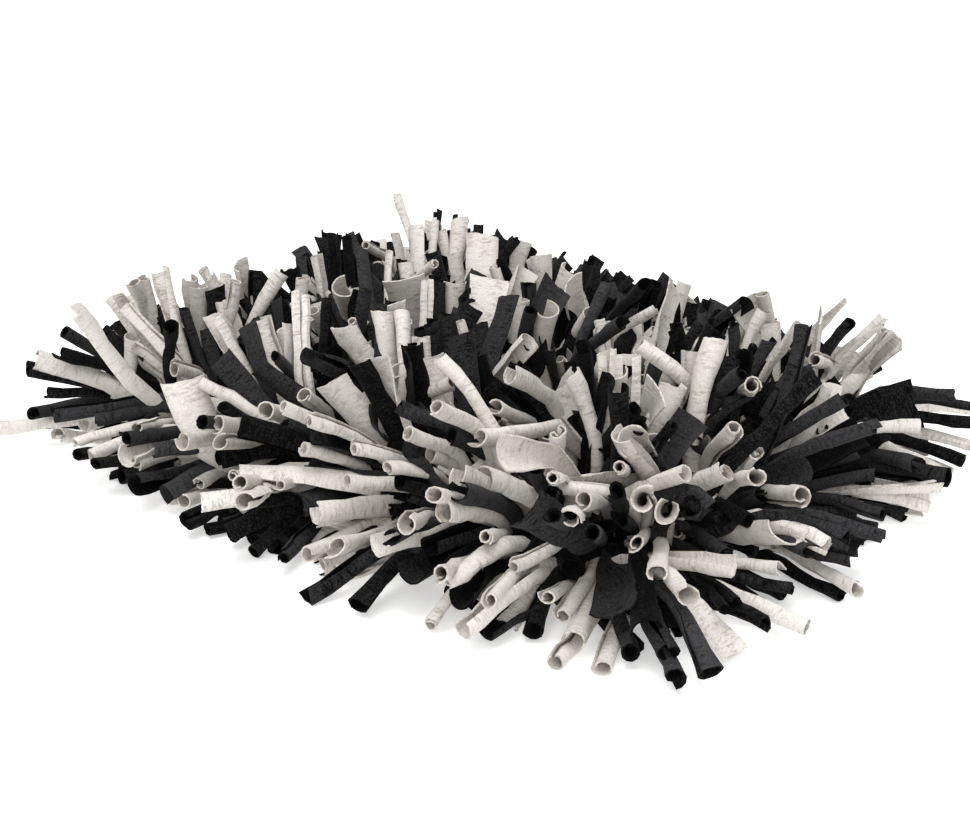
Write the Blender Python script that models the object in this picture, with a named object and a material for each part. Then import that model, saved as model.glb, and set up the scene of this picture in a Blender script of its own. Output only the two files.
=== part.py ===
# Snuffle mat: a flat woven backing that carries rows of tied tufts. Each tuft is a gathered
# root block with its rolled jersey strips, all of one colour, standing up or lying out over the rim.
# Metres, +Z up. The origin is the middle of the backing's underside, with +X along the long side.

import math
import random

import bmesh
import bpy
from mathutils import Vector
from mathutils.bvhtree import BVHTree

# The backing cloth.
BACKING_LENGTH = 0.352
BACKING_WIDTH = 0.255
BACKING_THICKNESS = 0.003
BACKING_CORNER = 0.012

# The corners of a strip's cross-section, in order round it.
CORNERS = ((1, 1), (-1, 1), (-1, -1), (1, -1))

# The grid of tufts, and the cells of each tuft that a strip can stand in.
TUFTS_LONG = 8
TUFTS_WIDE = 6
CELLS_LONG = 3
CELLS_WIDE = 2
TUFT_PARTING = 0.0012
SEAT_GAP = 0.0003

# The gathered roots: a lumpy bed, low at the rim and higher in the middle.
RIM_BED = 0.019
CROWN_BED = 0.029
CROWN_REACH = 0.085
LUMP = 0.0016
LUMP_PITCH = 0.034

# The strips, each rolled into a tube.
RIM_STRIP_LENGTH = 0.065
CROWN_STRIP_LENGTH = 0.051
STRIP_LENGTH_VARIES = 0.008
FLOOR_STRIP_LENGTH = 0.060
FLOOR_STRIP_VARIES = 0.011
TUBE_WIDTH = 0.0106
TUBE_DEPTH = 0.0084
TUBE_VARIES = 0.12
FLOOR_TUBE_VARIES = 0.07
TIP_FLARE = 1.12
ROOT_MARGIN = 0.0014
STATIONS = 3

# Two strips that stand out of the pile: one upright near a corner, one lying out from a long side.
TALL_STRIP = {"x": -0.125, "y": 0.074, "lean": (-0.30, 0.14), "length": 0.082}
REACHING_STRIP = {"x": -0.154, "y": -0.127, "length": 0.092}

# How strips lean: outwards near the rim, upright in the middle, each tuft a little its own way.
LEAN_REACH = 0.125
MOST_LEAN = math.radians(92)
UPRIGHT_BEND = 0.42
OUTWARD_BEND = 0.26
TUFT_LEAN_VARIES = 0.30
STRIP_LEAN_VARIES = 0.16
CORNER_FAN = 0.75
FLOOR_FAN_VARIES = 0.14
FLOOR_TRIES = 40
STRIP_GAP = 0.0005
BED_CLEARANCE = 0.006
LEAN_TRIES = 150
SHORTEST = 0.35
SEED = 6

# How many of the six cells of a tuft hold a strip, by where the tuft is.
FILLED_CELLS = {"middle": 5, "side": 5, "corner": 5}

CREAM = ("cream_jersey", (0.68, 0.64, 0.58, 1.0))
CHARCOAL = ("charcoal_jersey", (0.025, 0.025, 0.028, 1.0))
BACKING_CLOTH = ("backing_cloth", (0.035, 0.034, 0.036, 1.0))

# Patches of one colour in the pile: a tuft takes the colour of the nearest one.
PATCHES = (
    # x, y, colour
    (-0.190, -0.146, "charcoal"),
    (-0.160, -0.122, "cream"),
    (-0.132, -0.080, "cream"),
    (-0.160, 0.037, "charcoal"),
    (-0.143, 0.110, "cream"),
    (-0.060, -0.105, "charcoal"),
    (-0.020, -0.060, "cream"),
    (-0.006, -0.012, "charcoal"),
    (0.025, 0.012, "cream"),
    (0.021, 0.075, "charcoal"),
    (0.065, 0.085, "cream"),
    (-0.060, 0.060, "cream"),
    (-0.100, 0.000, "charcoal"),
    (-0.060, 0.115, "charcoal"),
    (0.085, -0.050, "charcoal"),
    (0.072, -0.008, "cream"),
    (0.127, 0.036, "charcoal"),
    (0.140, -0.029, "cream"),
    (0.150, 0.110, "cream"),
    (0.175, 0.026, "charcoal"),
    (0.100, 0.125, "charcoal"),
    (0.040, -0.125, "charcoal"),
    (0.105, -0.118, "cream"),
    (0.160, -0.095, "cream"),
    (0.185, -0.060, "charcoal"),
    (0.143, -0.147, "charcoal"),
    (-0.013, -0.165, "cream"),
    (-0.083, -0.160, "cream"),
    (-0.046, -0.135, "charcoal"),
)


def colour_at(x, y):
    """The colour of the patch nearest to this place."""
    return min(PATCHES, key=lambda patch: math.hypot(patch[0] - x, patch[1] - y))[2]


def rim_distance(place, side):
    """How far a place is inside the backing's edge along one direction."""
    return side / 2 - abs(place)


def bed_height(x, y):
    """The top of the gathered roots at a place: lumpy, and highest in the middle."""
    inside = min(rim_distance(x, BACKING_LENGTH), rim_distance(y, BACKING_WIDTH))
    rise = min(1.0, max(0.0, inside / CROWN_REACH))
    lump = math.sin(x / LUMP_PITCH * math.tau + 0.7) * math.sin(y / LUMP_PITCH * math.tau)
    smooth_rise = rise * rise * (3 - 2 * rise)
    return RIM_BED + (CROWN_BED - RIM_BED) * smooth_rise + LUMP * lump


def outward_lean(x, y):
    """The outward lean at a place, as a flat vector whose length is 0 upright and 1 at most."""
    lean = Vector((0.0, 0.0))
    for axis, (place, side) in enumerate(((x, BACKING_LENGTH), (y, BACKING_WIDTH))):
        share = max(0.0, 1 - rim_distance(place, side) / LEAN_REACH)
        lean[axis] = math.copysign(share**1.25, place)
    if lean.length > 1:
        lean.normalize()
    return lean


def standing_path(root, lean, length):
    """Points along a strip that rises from the bed and bends over the way it leans."""
    share = min(1.0, lean.length)
    tilt = share * MOST_LEAN
    flat = lean.normalized() if lean.length > 1e-6 else Vector((1.0, 0.0))
    final = Vector((flat.x * math.sin(tilt), flat.y * math.sin(tilt), math.cos(tilt)))
    first = UPRIGHT_BEND + (OUTWARD_BEND - UPRIGHT_BEND) * share
    bend = root + (Vector((0, 0, 1)) + final * 0.9).normalized() * length * first
    tip = bend + final * length * (1 - first)
    return [root.lerp(bend, t).lerp(bend.lerp(tip, t), t) for t in path_shares()]


def floor_path(root, outward, length, depth):
    """Points along a strip that leaves the bed's side and comes to rest level on the floor."""
    points = []
    for share in path_shares():
        left = max(0.0, 1 - 1.5 * share) ** 1.5
        height = depth / 2 + (root.z - depth / 2) * left
        points.append(Vector((root.x, root.y, height)) + outward * length * share)
    return points


def path_shares():
    """Where along a strip its cross-sections are, from root to tip."""
    return [n / STATIONS for n in range(STATIONS + 1)]


def section_axes(along, across):
    """The axes of a strip's cross-section where it runs along a direction."""
    first = (across - along * across.dot(along)).normalized()
    return first, along.cross(first)


def section(strip, station, spare=0.0):
    """The four corners of a strip's cross-section at a station, by their side of each axis."""
    points, normal = strip["points"], strip["normal"]
    along = points[min(station + 1, STATIONS)] - points[station - 1] if station else normal.copy()
    if abs(normal.z) < 0.5:
        along.z = 0
    first, second = section_axes(along.normalized(), strip["across"])
    flare = 1 + (TIP_FLARE - 1) * station / STATIONS
    across, deep = (strip[size] * flare / 2 + spare for size in ("width", "depth"))
    return {(a, b): points[station] + first * a * across + second * b * deep for a, b in CORNERS}


def surface(strip):
    """A search tree of a strip's faces, half of the least gap larger than the strip all round."""
    corners = []
    faces = [(3, 2, 1, 0), tuple(4 * STATIONS + n for n in range(4))]
    for station in range(STATIONS + 1):
        at = section(strip, station, STRIP_GAP / 2)
        corners += [at[corner] for corner in CORNERS]
        if station:
            low = 4 * (station - 1)
            faces += [(low + n, low + (n + 1) % 4, low + 4 + (n + 1) % 4, low + 4 + n) for n in range(4)]
    return BVHTree.FromPolygons(corners, faces)


def is_clear(strip, placed):
    """True if a strip keeps the least gap from every strip placed before it."""
    root, reach = strip["points"][0], strip["length"]
    tree = None
    for other in placed:
        if (other["points"][0] - root).length < reach + other["length"] + TUBE_WIDTH:
            tree = tree or surface(strip)
            if tree.overlap(other["surface"]):
                return False
    return True


def clear_of_bed(points):
    """True if a strip stays above the gathered roots that it leans across."""
    for station in range(1, STATIONS + 1):
        for share in (0.5, 1.0):
            x, y, z = points[station - 1].lerp(points[station], share)
            inside = min(rim_distance(x, BACKING_LENGTH), rim_distance(y, BACKING_WIDTH))
            risen = min(1, station + share - 1)
            if inside > -TUBE_WIDTH / 2 and z < bed_height(x, y) + BED_CLEARANCE * risen:
                return False
    return True


def tuft_kind(i, j):
    """Where a tuft is in the grid: a corner, a side or the middle."""
    at_end = i in (0, TUFTS_LONG - 1)
    at_side = j in (0, TUFTS_WIDE - 1)
    if at_end and at_side:
        return "corner"
    return "side" if at_end or at_side else "middle"


def tuft_block(i, j):
    """The root block of one tuft as a mesh: a box cut into cells, with a lumpy top."""
    size_x = BACKING_LENGTH / TUFTS_LONG
    size_y = BACKING_WIDTH / TUFTS_WIDE
    middle = Vector(((i + 0.5) * size_x - BACKING_LENGTH / 2, (j + 0.5) * size_y - BACKING_WIDTH / 2))
    mesh = bmesh.new()
    bmesh.ops.create_cube(mesh, size=1.0)
    for axis, cuts in ((0, CELLS_LONG - 1), (1, CELLS_WIDE - 1)):
        along = [
            edge
            for edge in mesh.edges
            if abs(edge.verts[0].co[axis] - edge.verts[1].co[axis]) > 0.4
        ]
        bmesh.ops.subdivide_edges(mesh, edges=along, cuts=cuts, use_grid_fill=True)
    floor = BACKING_THICKNESS + SEAT_GAP
    for vert in mesh.verts:
        x = middle.x + vert.co.x * (size_x - TUFT_PARTING)
        y = middle.y + vert.co.y * (size_y - TUFT_PARTING)
        vert.co = (x, y, bed_height(x, y) if vert.co.z > 0 else floor)
    mesh.normal_update()
    return mesh, middle


def is_at(strip, root):
    """True if a root is the cell that a named strip stands in."""
    near_x = abs(strip["x"] - root.x) < BACKING_LENGTH / TUFTS_LONG / CELLS_LONG / 2
    return near_x and abs(strip["y"] - root.y) < BACKING_WIDTH / TUFTS_WIDE / CELLS_WIDE / 2


def grow_strip(mesh, strip):
    """Draws a face in to the strip's root, then extrudes it section by section along the points."""
    face = strip["face"]
    bmesh.ops.inset_individual(mesh, faces=[face], thickness=ROOT_MARGIN)
    first, second = section_axes(strip["normal"], strip["across"])
    centre = face.calc_center_median()
    corners = []
    for loop in face.loops:
        offset = loop.vert.co - centre
        corners.append((math.copysign(1, offset.dot(first)), math.copysign(1, offset.dot(second))))
    for station in range(STATIONS + 1):
        if station:
            face = bmesh.ops.extrude_discrete_faces(mesh, faces=[face])["faces"][0]
        at = section(strip, station)
        for loop, corner in zip(face.loops, corners):
            loop.vert.co = at[corner]


def side_faces(mesh, i, j):
    """The outer faces of a tuft at the rim, each with the direction that it faces."""
    outward = []
    if i in (0, TUFTS_LONG - 1):
        outward.append(Vector((-1 if i == 0 else 1, 0, 0)))
    if j in (0, TUFTS_WIDE - 1):
        outward.append(Vector((0, -1 if j == 0 else 1, 0)))
    return [(face, way) for way in outward for face in mesh.faces if face.normal.dot(way) > 0.9]


def fanned(way, place, astray):
    """The direction of a floor strip: near square to the rim, and fanned out towards the corners."""
    along_x = abs(way.x) > 0.5
    share = place.y / (BACKING_WIDTH / 2) if along_x else place.x / (BACKING_LENGTH / 2)
    fan = math.copysign(abs(share) ** 4, share) * CORNER_FAN + astray
    turned = way + (Vector((0, fan, 0)) if along_x else Vector((fan, 0, 0)))
    return turned.normalized()


def plan_floor_strips(mesh, i, j, rng, placed):
    """The strips of a rim tuft that lie out on the floor, each turned until it is clear of the last."""
    for face, way in side_faces(mesh, i, j):
        root = face.calc_center_median()
        varied = 1 + rng.uniform(-FLOOR_TUBE_VARIES, FLOOR_TUBE_VARIES)
        usual = FLOOR_STRIP_LENGTH + rng.uniform(-1, 1) * FLOOR_STRIP_VARIES
        if is_at(REACHING_STRIP, root) and way.y < 0:
            usual = REACHING_STRIP["length"]
        strip = {
            "tuft": (i, j),
            "face": face,
            "normal": face.normal.copy(),
            "across": Vector((-way.y, way.x, 0)),
            "width": TUBE_WIDTH * varied,
            "depth": TUBE_DEPTH * varied,
        }
        for attempt in range(FLOOR_TRIES):
            strip["length"] = usual * (1 - SHORTEST * attempt / FLOOR_TRIES)
            outward = fanned(way, root, rng.uniform(-1, 1) * FLOOR_FAN_VARIES)
            strip["points"] = floor_path(root, outward, strip["length"], strip["depth"])
            if is_clear(strip, placed):
                placed.append({**strip, "surface": surface(strip)})
                break


def plan_standing_strips(mesh, i, j, rng, placed):
    """The strips that stand on a tuft's top, each leaned until it is clear of those placed before."""
    tops = [face for face in mesh.faces if face.normal.z > 0.7]
    tops.sort(key=lambda face: rng.random() - is_at(TALL_STRIP, face.calc_center_median()))
    tuft_lean = Vector((rng.uniform(-1, 1), rng.uniform(-1, 1))) * TUFT_LEAN_VARIES
    for face in tops[: FILLED_CELLS[tuft_kind(i, j)]]:
        root = face.calc_center_median()
        outward = outward_lean(root.x, root.y)
        usual = CROWN_STRIP_LENGTH + (RIM_STRIP_LENGTH - CROWN_STRIP_LENGTH) * outward.length
        varied = 1 + rng.uniform(-TUBE_VARIES, TUBE_VARIES)
        strip = {
            "tuft": (i, j),
            "face": face,
            "normal": face.normal.copy(),
            "width": TUBE_WIDTH * varied,
            "depth": TUBE_DEPTH / varied,
        }
        for attempt in range(LEAN_TRIES):
            strain = attempt / LEAN_TRIES
            own = Vector((rng.uniform(-1, 1), rng.uniform(-1, 1))) * STRIP_LEAN_VARIES
            lean = outward + tuft_lean * (1 - outward.length * 0.6) * (1 - strain) + own * (1 + strain)
            length = (usual + rng.uniform(-1, 1) * STRIP_LENGTH_VARIES) * (1 - SHORTEST * strain)
            if is_at(TALL_STRIP, root):
                lean, length = Vector(TALL_STRIP["lean"]), TALL_STRIP["length"]
            strip["length"] = length
            strip["points"] = standing_path(root, lean, length)
            strip["across"] = Vector((0, 1, 0)) if abs(lean.x) > abs(lean.y) else Vector((1, 0, 0))
            if clear_of_bed(strip["points"]) and is_clear(strip, placed):
                placed.append({**strip, "surface": surface(strip)})
                break


def cloth_material(name, colour):
    """A plain matt cloth."""
    material = bpy.data.materials.new(name)
    material.use_nodes = True
    shader = material.node_tree.nodes["Principled BSDF"]
    shader.inputs["Base Color"].default_value = colour
    shader.inputs["Roughness"].default_value = 0.92
    material.diffuse_color = colour
    return material


def place(collection, name, mesh, material):
    """Turns a finished mesh into a named object of the mat."""
    data = bpy.data.meshes.new(name)
    mesh.to_mesh(data)
    mesh.free()
    data.materials.append(material)
    piece = bpy.data.objects.new(name, data)
    collection.objects.link(piece)
    return piece


def make_backing(collection, material):
    """The flat cloth that the tufts are tied into, with its corners rounded."""
    mesh = bmesh.new()
    bmesh.ops.create_cube(mesh, size=1.0)
    bmesh.ops.scale(mesh, vec=(BACKING_LENGTH, BACKING_WIDTH, BACKING_THICKNESS), verts=mesh.verts)
    bmesh.ops.translate(mesh, vec=(0, 0, BACKING_THICKNESS / 2), verts=mesh.verts)
    upright = [e for e in mesh.edges if abs(e.verts[0].co.z - e.verts[1].co.z) > BACKING_THICKNESS / 2]
    bmesh.ops.bevel(
        mesh, geom=upright, offset=BACKING_CORNER, segments=5, profile=0.5, affect="EDGES"
    )
    place(collection, "backing", mesh, material)


def make_tufts(collection, materials):
    """Every tuft: its root block first, then its floor strips, then the ones that stand."""
    rng = random.Random(SEED)
    placed = []
    grid = [(i, j) for i in range(TUFTS_LONG) for j in range(TUFTS_WIDE)]
    blocks = {(i, j): tuft_block(i, j) for i, j in grid}
    for i, j in grid:
        plan_floor_strips(blocks[i, j][0], i, j, rng, placed)
    for i, j in grid:
        plan_standing_strips(blocks[i, j][0], i, j, rng, placed)
    for strip in placed:
        grow_strip(blocks[strip["tuft"]][0], strip)
    for (i, j), (mesh, middle) in blocks.items():
        colour = colour_at(middle.x, middle.y)
        place(collection, f"tuft_{i + 1}_{j + 1}_{colour}", mesh, materials[colour])
    return len(placed)


def build_mat():
    """Clears the scene and models the whole mat."""
    for old in list(bpy.data.objects):
        bpy.data.objects.remove(old)
    collection = bpy.data.collections.new("snuffle_mat")
    bpy.context.scene.collection.children.link(collection)
    materials = {"cream": cloth_material(*CREAM), "charcoal": cloth_material(*CHARCOAL)}
    make_backing(collection, cloth_material(*BACKING_CLOTH))
    print("strips:", make_tufts(collection, materials))


build_mat()
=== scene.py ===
# Snuffle mat: a cloth backing that carries a shaggy pile of rolled jersey strips, cream and charcoal.
# Metres, +Z up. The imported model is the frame: the strips grow where its tufts stand.
import itertools
import math

import bpy
import numpy as np
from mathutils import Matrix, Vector
from numpy.linalg import norm


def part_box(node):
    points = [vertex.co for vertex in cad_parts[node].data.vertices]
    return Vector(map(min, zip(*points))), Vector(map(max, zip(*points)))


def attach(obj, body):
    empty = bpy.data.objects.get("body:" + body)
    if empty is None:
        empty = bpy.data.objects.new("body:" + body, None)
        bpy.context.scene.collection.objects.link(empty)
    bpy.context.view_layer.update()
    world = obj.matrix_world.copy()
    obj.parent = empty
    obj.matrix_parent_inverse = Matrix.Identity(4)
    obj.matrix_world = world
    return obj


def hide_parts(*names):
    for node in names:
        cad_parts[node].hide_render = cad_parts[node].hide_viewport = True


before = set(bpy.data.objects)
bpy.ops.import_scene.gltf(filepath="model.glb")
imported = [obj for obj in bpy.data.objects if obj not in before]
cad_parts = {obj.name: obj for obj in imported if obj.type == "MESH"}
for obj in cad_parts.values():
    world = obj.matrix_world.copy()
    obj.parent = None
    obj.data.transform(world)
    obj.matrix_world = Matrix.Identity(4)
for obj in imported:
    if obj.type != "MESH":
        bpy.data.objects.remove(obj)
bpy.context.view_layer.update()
rng = np.random.default_rng(11)
backingLow, backingHigh = (np.array(corner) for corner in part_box("backing"))
backingHalf = (backingHigh - backingLow)[:2] / 2
upward = np.array([0.0, 0.0, 1.0])
print("frame loaded, nodes:", len(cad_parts))


def unit(vectors):
    return vectors / np.maximum(norm(vectors, axis=-1, keepdims=True), 1e-9)


def smoothStep(low, high, x):
    share = np.clip((x - low) / (high - low), 0, 1)
    return share * share * (3 - 2 * share)


def tiedIn(roots):
    # the places on top of the backing where the strips are tied in
    return np.concatenate([roots, np.full((len(roots), 1), backingHigh[2])], 1)


def addObject(name, data):
    thing = bpy.data.objects.new(name, data)
    bpy.context.scene.collection.objects.link(thing)
    return thing


def pointAt(thing, place, direction):
    thing.location = place
    thing.rotation_euler = Vector(direction).to_track_quat("-Z", "Y").to_euler()


# Where the mat is seen from: three quarters from the front, with its long side running back to the left.
view = {
    "target": (0.026, -0.044, 0.030),
    "azimuth": math.radians(39.7),  # from looking along +Y
    "elevation": math.radians(20.8),
    "distance": 0.67,
    "lens": 44.2,
    "sensor": 36.0,
    "picture": (970, 833),  # pixels, for places given as seen in the picture
}
away = np.array([math.sin(view["azimuth"]) * math.cos(view["elevation"]),
                 -math.cos(view["azimuth"]) * math.cos(view["elevation"]),
                 math.sin(view["elevation"])])
eye = np.array(view["target"]) + away * view["distance"]


def sightLines(pixels):
    # the direction from the eye through each pixel, scaled so that 1 is one metre of depth
    wide, high = view["picture"]
    focal = view["lens"] / view["sensor"] * wide
    right = unit(np.cross(-away, upward))
    across, down = (pixels[:, 0:1] - wide / 2) / focal, (pixels[:, 1:2] - high / 2) / focal
    return -away + right * across - np.cross(right, -away) * down


# Where the strips are tied in, and how each one wants to stand before they push each other apart.
pile = {
    "tufts": (8, 6),  # the grid of tuft nodes
    "perTuft": (8, 6),  # strips tied into one tuft
    "rootJitter": 0.30,  # of the distance between two roots
    "stripLength": (0.0855, 0.0775),  # towards -X, towards +X
    "lengthVaries": 0.014,
    "cornerTrim": 0.012,  # strips are cut shorter towards the corners
    "cornerReach": 0.050,
    "farTrim": 0.22,  # the share that is cut off towards +X and +Y
    "farFrom": (-0.08, 0.01),  # beyond this place, little by little
    "farReach": (0.18, 0.09),  # and in full this much further on
    "tuftLean": 0.44,  # each tuft leans a little its own way
    "stripLean": 0.31,  # and each strip within it
    "calmer": 0.55,  # how much less they do so where the pile lies right over
    "stripCalmer": 0.6,  # a single strip by this share of that
    "flopped": 0.27,  # the share that bend over halfway up and lie across the others
    "flopLean": 0.8,
    "mostLean": math.radians(95),
    "points": 13,  # along one strip while it settles
    "zone": (2, 2),  # tufts whose strips of one colour are one piece
}
# How far the strips lean, along X and along Y: 0 stands upright, 1 lies right over. Towards -X and +Y
# the rim stays bushy, towards +X and -Y it is combed down, and the front half already leans to -Y.
leanAlong = {
    "x": ((-0.176, -0.130, -0.090, -0.040, 0.060, 0.100, 0.135, 0.176),
          (-0.85, -0.46, -0.20, -0.05, 0.00, 0.16, 0.50, 1.00)),  # the lean at each of these places
    "y": ((-0.127, -0.090, -0.050, -0.010, 0.030, 0.070, 0.100, 0.127),
          (-1.05, -0.88, -0.62, -0.36, -0.12, 0.06, 0.25, 0.60)),
    "leftCalm": (-0.176, -0.090, 0.55),  # between these places along X the lean to -Y fades to this share
    "least": (0.40, 0.85),  # the weakest lean of a strip, as a share: bushy sides, combed sides
    "most": 1.05,
}


def outwardLean(places):
    lean = np.stack([np.interp(places[:, n], *leanAlong[axis]) for n, axis in enumerate("xy")], 1)
    start, end, share = leanAlong["leftCalm"]
    lean[:, 1] *= np.interp(places[:, 0], (start, end), (share, 1))
    combed = np.stack([lean[:, 0] > 0, (lean[:, 1] < 0) & (places[:, 0] > end)], 1)
    least = np.where(combed, leanAlong["least"][1], leanAlong["least"][0])
    lean *= rng.uniform(least, leanAlong["most"])
    return lean / np.maximum(norm(lean, axis=1, keepdims=True), 1)


def plantStrips():
    counts = np.array(pile["tufts"]) * pile["perTuft"]
    cells = np.array(list(np.ndindex(*counts)))
    jitter = rng.uniform(-1, 1, cells.shape) * pile["rootJitter"]
    roots = (cells + 0.5 + jitter) * (2 * backingHalf / counts) - backingHalf
    tuft = cells // pile["perTuft"]
    tuftLeans = rng.uniform(-1, 1, (*pile["tufts"], 2)) * pile["tuftLean"]
    lean = outwardLean(roots)
    calm = 1 - pile["calmer"] * norm(lean, axis=1, keepdims=True)
    lean = lean + tuftLeans[tuft[:, 0], tuft[:, 1]] * calm
    stripCalm = 1 - pile["stripCalmer"] + pile["stripCalmer"] * calm
    lean += rng.normal(0, 1, lean.shape) * pile["stripLean"] * stripCalm
    way = rng.uniform(0, math.tau, len(roots))
    flopped = rng.random(len(roots)) < pile["flopped"] * calm[:, 0]
    lean[flopped] += pile["flopLean"] * np.stack([np.cos(way), np.sin(way)], 1)[flopped]
    length = np.interp(roots[:, 0], (-backingHalf[0], backingHalf[0]), pile["stripLength"])
    length += rng.uniform(-1, 1, len(roots)) * pile["lengthVaries"]
    farCorner = np.clip((roots - pile["farFrom"]) / pile["farReach"], 0, 1).prod(1)
    length *= 1 - pile["farTrim"] * farCorner
    atCorner = np.clip(1 - (backingHalf - np.abs(roots)).max(1) / pile["cornerReach"], 0, 1)
    length -= pile["cornerTrim"] * atCorner
    return roots, tuft, lean, length, flopped


# A strip rises from its root and bends over the way it leans.
bending = {
    "early": 0.9,  # how much of its lean it has at the root
    "at": 0.34,  # where along itself it bends
    "sooner": 0.16,  # and how much sooner where it leans right over
    "varies": 0.05,
    "floppedLater": 0.25,
}


def wantedPaths(roots, lean, length, flopped):
    size = norm(lean, axis=1, keepdims=True)
    flat = lean / np.maximum(size, 1e-6)
    share = np.minimum(size, leanAlong["most"])
    tilt = share * pile["mostLean"]
    final = np.concatenate([flat * np.sin(tilt), np.cos(tilt)], 1)
    first = unit(upward + final * bending["early"])
    bendShare = bending["at"] - bending["sooner"] * share + bending["varies"] * rng.normal(0, 1, share.shape)
    bendShare = bendShare + bending["floppedLater"] * flopped[:, None]
    start = tiedIn(roots)
    bend = start + first * bendShare * length[:, None]
    tip = bend + final * (1 - bendShare) * length[:, None]
    t = np.linspace(0, 1, pile["points"])[None, :, None]
    return (1 - t) ** 2 * start[:, None] + 2 * t * (1 - t) * bend[:, None] + t**2 * tip[:, None]


# The strips settle together: each holds its length and bends smoothly, and tubes push each other apart.
settling = {
    "rounds": 130,
    "pairsEvery": 6,  # rounds between two searches for neighbours
    "wish": 0.035,  # how strongly a strip is drawn to the way it wants to stand
    "stiffness": 0.18,
    "straightness": 0.12,  # draws the outer part of a strip to the line to its tip
    "outer": 3,  # from this point on
    "sag": 0.00018,  # metres a round
    "push": 0.45,
    "mostPush": 0.003,
    "search": 2.6,  # how far off a neighbour is looked for, in tip radii
    "rootRadius": 0.0017,  # the strips are gathered where they are tied
    "tipRadius": 0.0032,
    "fullFrom": 0.45,  # the share of a strip's length where it has reached its full girth
    "offFloor": 0.0003,
}


def neighbours(points, owner, reach):
    # pairs of points of different strips that are closer than the reach, found on a grid of cells
    cell = np.floor(points / reach).astype(np.int64)
    cell -= cell.min(0) - 1
    size = cell.max(0) + 2
    steps = np.array([size[1] * size[2], size[2], 1])
    key = cell @ steps
    order = np.argsort(key, kind="stable")
    ordered = key[order]
    pairs = []
    for offset in itertools.product((-1, 0, 1), repeat=3):
        if offset < (0, 0, 0):
            continue  # the same pairs are found from the other side
        wanted = key + np.dot(offset, steps)
        low = np.searchsorted(ordered, wanted, "left")
        count = np.searchsorted(ordered, wanted, "right") - low
        mine = np.repeat(np.arange(len(points)), count)
        within = np.arange(len(mine)) - np.repeat(np.cumsum(count) - count, count)
        other = order[np.repeat(low, count) + within]
        keep = mine < other if offset == (0, 0, 0) else mine >= 0
        pairs.append((mine[keep], other[keep]))
    first, second = np.concatenate(pairs, 1)
    near = norm(points[first] - points[second], axis=1) < reach
    near &= owner[first] != owner[second]
    return first[near], second[near]


def settle(wanted, length, wish, girth, paths=None):
    strips, points = wanted.shape[:2]
    owner = np.repeat(np.arange(strips), points)
    total, outer = strips * points, settling["outer"]
    along = np.linspace(0, 1, points)
    swell = np.clip(along / settling["fullFrom"], 0, 1)
    radius = settling["rootRadius"] + (settling["tipRadius"] - settling["rootRadius"]) * swell
    radius = (radius[None, :] * (1 + (girth[:, None] - 1) * swell)).ravel()
    segment = (length / (points - 1))[:, None]
    paths = (wanted if paths is None else paths).copy()
    loose = (along > 0).astype(float)
    chord = np.linspace(0, 1, points - outer)[None, :, None]
    for step in range(settling["rounds"]):
        flatPoints = paths.reshape(-1, 3)
        if step % settling["pairsEvery"] == 0:
            a, b = neighbours(flatPoints, owner, settling["search"] * settling["tipRadius"])
        apart = flatPoints[a] - flatPoints[b]
        gap = norm(apart, axis=1)
        short = np.maximum(radius[a] + radius[b] - gap, 0) * settling["push"]
        move = apart * (short / np.maximum(gap, 1e-6))[:, None]
        pushed = np.stack([np.bincount(a, move[:, k], total) - np.bincount(b, move[:, k], total)
                           for k in range(3)], 1).reshape(strips, points, 3)
        pushed = np.clip(pushed, -settling["mostPush"], settling["mostPush"]) * loose[None, :, None]
        paths += pushed + (wanted - paths) * wish[:, None, None]
        paths[:, 1:, 2] -= settling["sag"]
        middle = 0.5 * (paths[:, :-2] + paths[:, 2:])
        paths[:, 1:-1] += (middle - paths[:, 1:-1]) * settling["stiffness"]
        line = paths[:, outer : outer + 1] * (1 - chord) + paths[:, -1:] * chord
        paths[:, outer:] += (line - paths[:, outer:]) * settling["straightness"]
        over = (np.abs(paths[..., :2]) < backingHalf).all(2)
        ground = radius.reshape(strips, points) + np.where(over, backingHigh[2], settling["offFloor"])
        paths[:, 1:, 2] = np.maximum(paths[:, 1:, 2], ground[:, 1:])
        for n in range(1, points):
            paths[:, n] = paths[:, n - 1] + unit(paths[:, n] - paths[:, n - 1]) * segment
    worst = np.sort(short)[-len(short) // 100] * 2000
    print(f"settled {strips} strips, {len(a)} pairs, 1% of them still press in by {worst:.2f} mm or more")
    return paths


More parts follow.
